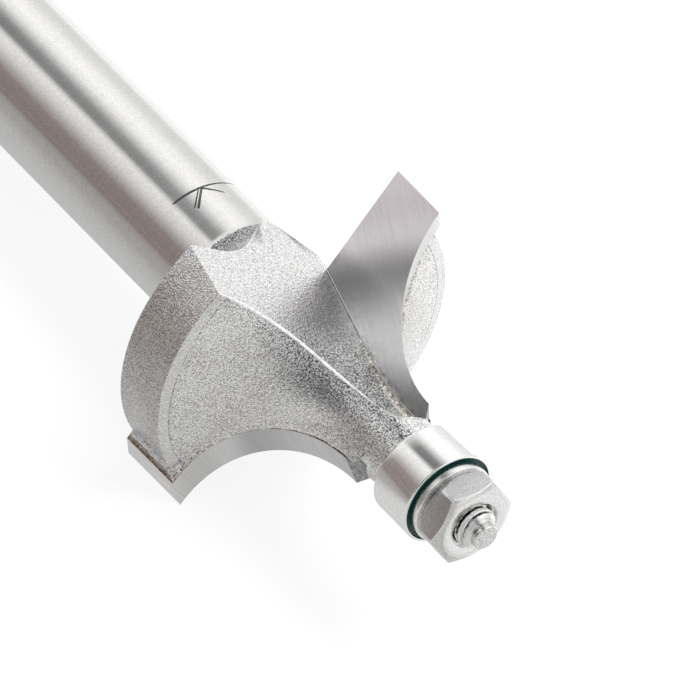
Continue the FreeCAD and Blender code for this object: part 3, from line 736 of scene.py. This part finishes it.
# GULLET EDGES. Milling the gullets left a rounded burr where their floor runs out through
# the cove, painted bright as highlight, and a crease where the floor meets the tip, painted dark as
# shade. The tip's own edge there is honed, and painted bright as highlight.
def edge_finish(name, dark, pale, rough, share):
    """A narrow strip of metal in two tones of flecks, which paints highlight and shade along edges."""
    finish, tree, out = finish_tree(name)
    flecks = grain(tree, upright(tree), 7000.0)
    colour = steps(tree, flecks, [(0.35, dark), (0.65, pale)])
    edge = node(tree, "ShaderNodeBsdfPrincipled", Base_Color=colour, Metallic=share, Roughness=rough)
    tree.links.new(edge.outputs[0], out)
    return finish


# bright strips painted as highlight on the burr and on the honed edge
burr_highlight = edge_finish("burr_highlight", 0.74, 1.0, rough=0.45, share=0.35)
# a dark strip painted as shade in the crease beside the tip
painted_crease_shade = edge_finish("painted_crease_shade", (0.03, 0.028, 0.025), (0.1, 0.095, 0.09), rough=0.6, share=0.3)
honed_highlight = edge_finish("honed_highlight", 0.8, 0.95, rough=0.3, share=0.6)


def ridge_spot(z):
    """Where a gullet's floor runs out through the cove at a height, with the way up there."""
    start = gullet_line(z)
    radius, slope = cove_radius(z)
    along = start.x * floor_way.x + start.y * floor_way.y
    far = -along + math.sqrt(along ** 2 - start.x ** 2 - start.y ** 2 + radius ** 2)
    spot = start + floor_way * far
    out_way = Vector((spot.x, spot.y, 0)).normalized()
    cove_up = out_way * slope.x + Vector((0, 0, slope.y))
    return spot, (cove_up.normalized() + floor_up).normalized()


burr_start, burr_end = 2.6, 9.3
crease_start, crease_length = 0.05, 9.6
aside = 0.02
for number, turn in wings:
    burr_line, crease_shade_line, honed_highlight_line = [], [], []
    for step in range(161):
        share = step / 160
        z = burr_start + (burr_end - burr_start) * share
        spot, up = ridge_spot(z)
        ahead = ridge_spot(z + aside)[0] - ridge_spot(z - aside)[0]
        across = ahead.cross(up).normalized()
        half = 0.085 * min(1.0, 6 * share + 0.15) * min(1.0, 3.0 * (1 - share) + 0.1)
        burr_line.append((turn @ spot, turn @ across, turn @ up, half, 0.03))
        z = crease_start + crease_length * share
        spot = gullet_line(z)
        half = 0.035 + 0.06 * share * share
        crease_shade_line.append((turn @ (spot + floor_way * half), turn @ floor_way, turn @ floor_up, half, 0.02))
        on_tip = (gullet_line(z + aside) - gullet_line(z - aside)).cross(into_tip).normalized()
        spot = spot + on_tip * 0.045 - into_tip * 0.001
        honed_highlight_line.append((turn @ spot, turn @ on_tip, turn @ -into_tip, 0.04, 0.016))
    bead(f"gullet_burr_{number}", burr_highlight, burr_line, seed=17.0 + number, columns=7)
    bead(f"tip_crease_shade_{number}", painted_crease_shade, crease_shade_line, seed=23.0 + number, columns=3, lump=0.1)
    bead(f"honed_edge_highlight_{number}", honed_highlight, honed_highlight_line, seed=29.0 + number, columns=5, lump=0.0)


# GUIDE BEARING, OUTER RING. A ring of bearing steel, ground on its rim, which runs along the
# work. Its edges are rounded, and a shallow seat in each face holds a rubber seal.
def turned_mesh(name, outline):
    """A lathe form from a closed outline of radius and height in millimetres."""
    surface = bmesh.new()
    count = 160
    rings = []
    for step in range(count):
        angle = 2 * math.pi * step / count
        rings.append([corner(surface, r, angle, z) for r, z in outline])
    join_rings(surface, rings + rings[:1])
    return finished_mesh(surface, bpy.data.meshes.new(name), 35)


def rounded(outline, corners):
    """The outline with some of its corners rounded, each corner given with its radius."""
    softened = []
    count = 6
    total = len(outline)
    for place, point in enumerate(outline):
        here = Vector(point)
        if place not in corners:
            softened.append((here.x, here.y))
            continue
        before = (Vector(outline[place - 1]) - here).normalized() * corners[place]
        after = (Vector(outline[(place + 1) % total]) - here).normalized() * corners[place]
        for step in range(count + 1):
            turn = step / count * math.pi / 2
            spot = here + before * (1 - math.sin(turn)) + after * (1 - math.cos(turn))
            softened.append((spot.x, spot.y))
    return softened


bearing_steel, tree, out = finish_tree("bearing_steel")
where = upright(tree)
satin = grain(tree, where, 10500.0, 2.0, 0.6)
rim_lines = stretched(tree, where, (600.0, 600.0, 15000.0))
rim_scratch = sums(tree, "MULTIPLY_ADD", grain(tree, rim_lines, 1.0), 0.3, satin)
ring_colour = steps(tree, rim_scratch, [(0.42, (0.84, 0.83, 0.82)), (0.88, (1.0, 1.0, 0.995))])
tree.links.new(metal(tree, ring_colour, 0.09, bumped(tree, rim_scratch, 0.4, 2e-6)), out)

back, front = 11.69, 14.07125
seat_radius, land_radius, seat_depth = 2.25125, 2.0978, 0.27
rim_round, lip_round = 0.09, 0.02
outer_outline = rounded(
    [
        (ring_radius, back), (ring_radius, front), (seat_radius, front), (seat_radius, front - seat_depth),
        (land_radius, front - seat_depth), (land_radius, back + seat_depth),
        (seat_radius, back + seat_depth), (seat_radius, back),
    ],
    {0: rim_round, 1: rim_round, 2: lip_round, 7: lip_round},
)
ring_mesh = turned_mesh("ground_outer_ring", outer_outline)
outer_ring = lay_down("ground_outer_ring", ring_mesh, bearing_steel, "guide_ring")
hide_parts("bearing_outer_ring")


# BEARING, HIDDEN PARTS. The inner ring is clamped on the stud. Seven balls run between the two
# rings, kept apart by a cage. All are polished steel, out of sight behind the seals, and the
# solids stay as they are.
for name in ["bearing_inner_ring", "bearing_cage"] + [f"bearing_ball_{number}" for number in range(1, 8)]:
    frame["nodes"][name].data.materials.clear()
    frame["nodes"][name].data.materials.append(bearing_steel)


# SEALS. A ring of dark green rubber on each side keeps the dust out. It is pressed into the
# outer ring, a little below its face, and its lip swells round the inner ring.
seal_green, tree, out = finish_tree("seal_green")
bloom = grain(tree, upright(tree), 2600.0, 3.0)
seal_colour = steps(tree, bloom, [(0.3, (0.008, 0.07, 0.066)), (0.75, (0.022, 0.12, 0.112))])
seal_bump = bumped(tree, bloom, 0.2, 8e-6)
rubber = node(
    tree, "ShaderNodeBsdfPrincipled",
    Base_Color=seal_colour, Roughness=0.42, Normal=seal_bump, Specular_IOR_Level=0.45,
)
tree.links.new(rubber.outputs[0], out)
lip_radius, seal_radius, seal_round = 1.545, 2.24, 0.04
seal_places = (("bearing_front_seal", front - seat_depth, 1), ("bearing_rear_seal", back + seat_depth, -1))
for name, low, way in seal_places:
    proud = low + way * 0.15
    hollow = low + way * 0.12
    seal_outline = [
        (lip_radius, low), (seal_radius, low), (seal_radius, proud), (2.14, proud),
        (2.1, hollow), (1.75, hollow), (1.7, proud), (lip_radius, proud),
    ]
    seal_mesh = turned_mesh(name + "_rubber", rounded(seal_outline, {2: seal_round, 7: seal_round}))
    seal = lay_down(name.replace("bearing", "rubber"), seal_mesh, seal_green, "guide_ring")
    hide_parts(name)


# WASHER. A small turned washer between bearing and nut. It bears on the inner ring alone, so
# the outer ring stays free to turn. The nut's turned faces share its finish, a little darker.
washer_top = front + 0.43
bore_radius = 1.04
turned_bright, tree, out = finish_tree("turned_bright")
where = upright(tree)
from_axis, height = about_axis(tree, where)
round_marks = sums(tree, "MULTIPLY", from_axis, 14000.0)
side_marks = sums(tree, "MULTIPLY", height, 9000.0)
face_lines = node(tree, "ShaderNodeCombineXYZ", X=round_marks, Y=side_marks).outputs[0]
tool_marks = grain(tree, face_lines, 1.0, 3.0)
speck = grain(tree, where, 9000.0)
bright_tone = sums(tree, "MULTIPLY_ADD", speck, 0.5, sums(tree, "MULTIPLY", tool_marks, 0.5))
bright_colour = steps(tree, bright_tone, [(0.38, (0.7, 0.695, 0.69)), (0.62, (0.97, 0.965, 0.96))])
bright_bump = bumped(tree, tool_marks, 0.4, 8e-6, rounded_edge(tree, 0.00005, 6))
# the broken edges are painted white and less metallic, as highlight
painted_edge_highlight = edge_wear_and_highlight(tree, 0.00007, 0.95, 0.995)
on_nut = sums(tree, "GREATER_THAN", height, washer_top / 1000 + 1e-5)
bright_colour = blend(tree, on_nut, bright_colour, (0.84, 0.84, 0.84, 1.0), "MULTIPLY")
bright_colour = blend(tree, painted_edge_highlight, bright_colour, (1.0, 1.0, 1.0, 1.0))
bright_share = sums(tree, "MULTIPLY_ADD", painted_edge_highlight, -0.5, 1.0)
tree.links.new(metal(tree, bright_colour, 0.22, bright_bump, bright_share), out)
washer_radius, washer_round, bore_round = 2.05, 0.07, 0.04
washer_outline = rounded(
    [(bore_radius, front), (washer_radius, front), (washer_radius, washer_top), (bore_radius, washer_top)],
    {1: washer_round, 2: washer_round, 3: bore_round},
)
washer_mesh = turned_mesh("turned_washer", washer_outline)
washer = lay_down("turned_washer", washer_mesh, turned_bright, "root")
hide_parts("washer")


# NUT. A small steel hex nut, bevelled on both faces by turning. Its flats keep the grey of the
# drawn bar, and its threaded hole is painted near black as shade.
def bar_finish(name, dark, pale, scale, rough, share=1.0):
    """Drawn bar in two tones of specks."""
    finish, tree, out = finish_tree(name)
    specks = grain(tree, upright(tree), scale)
    colour = steps(tree, specks, [(0.32, dark), (0.68, pale)])
    tree.links.new(metal(tree, colour, rough, bumped(tree, specks, 0.5, 6e-6), share), out)
    return finish


drawn_flat = bar_finish("drawn_flat", (0.5, 0.495, 0.495), (0.68, 0.675, 0.68), 11500.0, rough=0.3)
# the bore is painted near black, as its shade
painted_shade_hole = bar_finish("painted_shade_hole", 0.02, 0.07, 5000.0, rough=0.35, share=0.6)
nut_finishes = [turned_bright, drawn_flat, painted_shade_hole]


def nut_form(low, high, half_width, face_radius, bore, mouth, turned_by):
    """A hex nut from its faces' heights and its radii in millimetres, with every edge just broken.
    The bore takes the near-black finish of painted shade, and each flat, away from its corners, the drawn
    one."""
    surface = bmesh.new()
    front_slope = math.tan(math.radians(30))
    rear_slope = math.tan(math.radians(45))
    broken, corner_off = 0.055, 0.03
    flat_reach = half_width * 1.138
    bore_wall, flat_wall = 0, 8
    rings = []
    for step in range(360):
        angle = math.radians(step)
        from_flat = math.radians((step - turned_by) % 60 - 30)
        side = min(half_width / math.cos(from_flat), half_width / math.cos(math.pi / 6) - corner_off)
        front_edge = high - (side - face_radius) * front_slope
        rear_edge = low + (side - face_radius) * rear_slope
        outline = [
            (bore, low + mouth), (bore, high - mouth),
            (bore + mouth - 0.01, high - 0.012), (bore + mouth + 0.012, high),
            (face_radius - broken, high), (face_radius + broken, high - broken * front_slope),
            (side - broken, front_edge + broken * front_slope), (side - 0.004, front_edge - 0.004),
            (side, front_edge - broken), (side, rear_edge + broken), (side - broken, rear_edge - broken),
            (face_radius, low), (bore + mouth, low),
        ]
        rings.append([corner(surface, r, angle, z) for r, z in outline])
    for place, face in join_rings(surface, rings + rings[:1]):
        if place == bore_wall:
            face.material_index = nut_finishes.index(painted_shade_hole)
        elif place == flat_wall and face.verts[3].co.to_2d().length * 1000 < flat_reach:
            face.material_index = nut_finishes.index(drawn_flat)
    return finished_mesh(surface, bpy.data.meshes.new("small_hex_nut"), 40)


nut_height = 1.6
nut_mesh = nut_form(
    washer_top, washer_top + nut_height, half_width=1.95, face_radius=1.75, bore=bore_radius, mouth=0.2,
    turned_by=25,
)
hex_nut = lay_down("small_hex_nut", nut_mesh, nut_finishes, "root")
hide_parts("hex_nut")


# FLOOR. A pale sheet that runs on past the picture, so no edge shows. The metal mirrors it in
# darker bands than the eye sees: dim in front of the bit, and brighter behind it.
def by_ray(tree, for_light, for_mirror, for_eye):
    """One surface for the light that falls on things, one for mirrors, and one for the eye."""
    path = node(tree, "ShaderNodeLightPath")
    unseen = either(tree, path.outputs["Is Glossy Ray"], for_light, for_mirror)
    return either(tree, path.outputs["Is Camera Ray"], unseen, for_eye)


half_side = 3
sheet_corners = [(x * half_side, y * half_side, 0) for x, y in ((-1, -1), (1, -1), (1, 1), (-1, 1))]
floor_mesh = bpy.data.meshes.new("floor")
floor_mesh.from_pydata(sheet_corners, [], [(0, 1, 2, 3)])
floor = new_object("floor", floor_mesh)
pale_sheet, tree, out = finish_tree("pale_sheet")
sheet_place = node(tree, "ShaderNodeSeparateXYZ", Vector=node(tree, "ShaderNodeTexCoord").outputs["Object"])
share = ease(tree, sheet_place.outputs["Y"], -0.05, 0.01)
mirrored = steps(tree, share, [
    (0.0, (0.235, 0.2, 0.19)), (0.27, (0.31, 0.285, 0.275)), (0.62, (0.37, 0.36, 0.355)), (0.72, 0.47),
    (0.77, 0.5), (0.83, 0.46), (0.87, 0.66), (0.91, 0.88), (1.0, 0.93),
])

# past the nose, on the camera's side, the sheet mirrors as an even grey
past_nose = ease(tree, sheet_place.outputs["X"], 0.009, 0.015)
before_nose = ease(tree, sheet_place.outputs["Y"], 0.003, -0.002)
beyond = sums(tree, "MULTIPLY", past_nose, before_nose)
mirrored = blend(tree, beyond, mirrored, (0.56, 0.56, 0.555, 1.0))
for_light = node(tree, "ShaderNodeBsdfDiffuse", Color=(0.8, 0.8, 0.8, 1.0)).outputs[0]
for_mirror = node(tree, "ShaderNodeEmission", Color=mirrored, Strength=1.2).outputs[0]
shaded = node(tree, "ShaderNodeBsdfDiffuse", Color=(0.21, 0.21, 0.215, 1.0)).outputs[0]
bright = node(tree, "ShaderNodeEmission", Color=(1.0, 1.0, 1.0, 1.0), Strength=0.845).outputs[0]
for_eye = node(tree, "ShaderNodeAddShader", i0=shaded, i1=bright).outputs[0]
tree.links.new(by_ray(tree, for_light, for_mirror, for_eye), out)
pale_sheet.cycles.emission_sampling = "NONE"
floor_mesh.materials.append(pale_sheet)


# LIGHT. One wide soft lamp above and behind the bit, in a pale tent whose walls are brighter
# overhead than at the camera's side.
lamp_data = bpy.data.lights.new("wide_lamp", "AREA")
lamp_data.shape = "RECTANGLE"
lamp_data.size = 0.5
lamp_data.size_y = 0.3
lamp_data.energy = 2.4
lamp = new_object("wide_lamp", lamp_data)
lamp.location = (0.06, 0.26, 0.45)
lamp.rotation_euler = (-lamp.location).to_track_quat("-Z", "Y").to_euler()
lamp.visible_glossy = False

tent = bpy.data.worlds.new("tent")
bpy.context.scene.world = tent
tent.use_nodes = True
tree = tent.node_tree
tree.nodes.clear()
out = tree.nodes.new("ShaderNodeOutputWorld").inputs[0]
outwards = node(tree, "ShaderNodeTexCoord").outputs["Generated"]
way = node(tree, "ShaderNodeSeparateXYZ", Vector=outwards)
round_way = sums(tree, "ARCTAN2", way.outputs["Z"], way.outputs["Y"])
walls = steps(tree, sums(tree, "DIVIDE", round_way, math.pi), [
    (0.0, 0.75), (0.04, 0.7), (0.13, 0.77), (0.21, 0.93), (0.3, 1.0), (0.385, 0.86), (0.45, 0.52),
    (0.5, 0.24), (0.55, 0.165), (0.59, 0.19), (0.62, 0.58), (0.65, 0.8), (0.73, (0.68, 0.67, 0.665)),
    (0.81, (0.43, 0.41, 0.4)), (0.88, (0.25, 0.215, 0.205)), (1.0, (0.225, 0.19, 0.178)),
])

# a pale panel stands beyond the shank's end, the wall on the camera's side is greyer, and the
# tent's opening there is dark
panel = ease(tree, way.outputs["X"], -0.66, -0.74)
walls = blend(tree, panel, walls, (0.8, 0.8, 0.8, 1.0))
off_panel = ease(tree, way.outputs["X"], -0.46, -0.25)
near_side = sums(tree, "MULTIPLY", off_panel, ease(tree, way.outputs["Y"], 0.0, -0.25))
walls = blend(tree, near_side, walls, (0.5, 0.5, 0.5, 1.0))
door_way = Vector((0.33, -0.83, 0.45))
door = ease(tree, reach_along(tree, outwards, door_way), 0.86, 0.97)
walls = blend(tree, door, walls, (0.1, 0.1, 0.102, 1.0))
for_mirror = node(tree, "ShaderNodeBackground", Color=walls, Strength=1.2).outputs[0]
for_light = node(tree, "ShaderNodeBackground", Color=(1.0, 1.0, 1.0, 1.0), Strength=0.55).outputs[0]
for_eye = node(tree, "ShaderNodeBackground", Color=(1.0, 1.0, 1.0, 1.0), Strength=1.0).outputs[0]
tree.links.new(by_ray(tree, for_light, for_mirror, for_eye), out)
tent.cycles.sampling_method = "NONE"


# CAMERA. A long lens, well back from the bit, looking down on it past the nose. Its place and
# its three directions are those of the photograph.
eye_data = bpy.data.cameras.new("eye")
eye_data.sensor_width = 36
eye_data.lens = 1043.46
eye_data.clip_start = 0.01
eye_data.clip_end = 20
eye = new_object("eye", eye_data)
right = Vector((0.5684968, 0.79865872, 0.19737181))
down = Vector((0.65549211, -0.29475897, -0.6953037))
ahead = Vector((-0.49713325, 0.5246536, -0.69108403))
place = Vector((0.46178512, -0.47338962, 0.63249596))
eye.matrix_world = Matrix((
    (right.x, -down.x, -ahead.x, place.x),
    (right.y, -down.y, -ahead.y, place.y),
    (right.z, -down.z, -ahead.z, place.z),
    (0, 0, 0, 1),
))
bpy.context.scene.camera = eye
bpy.context.scene.view_settings.view_transform = "Standard"
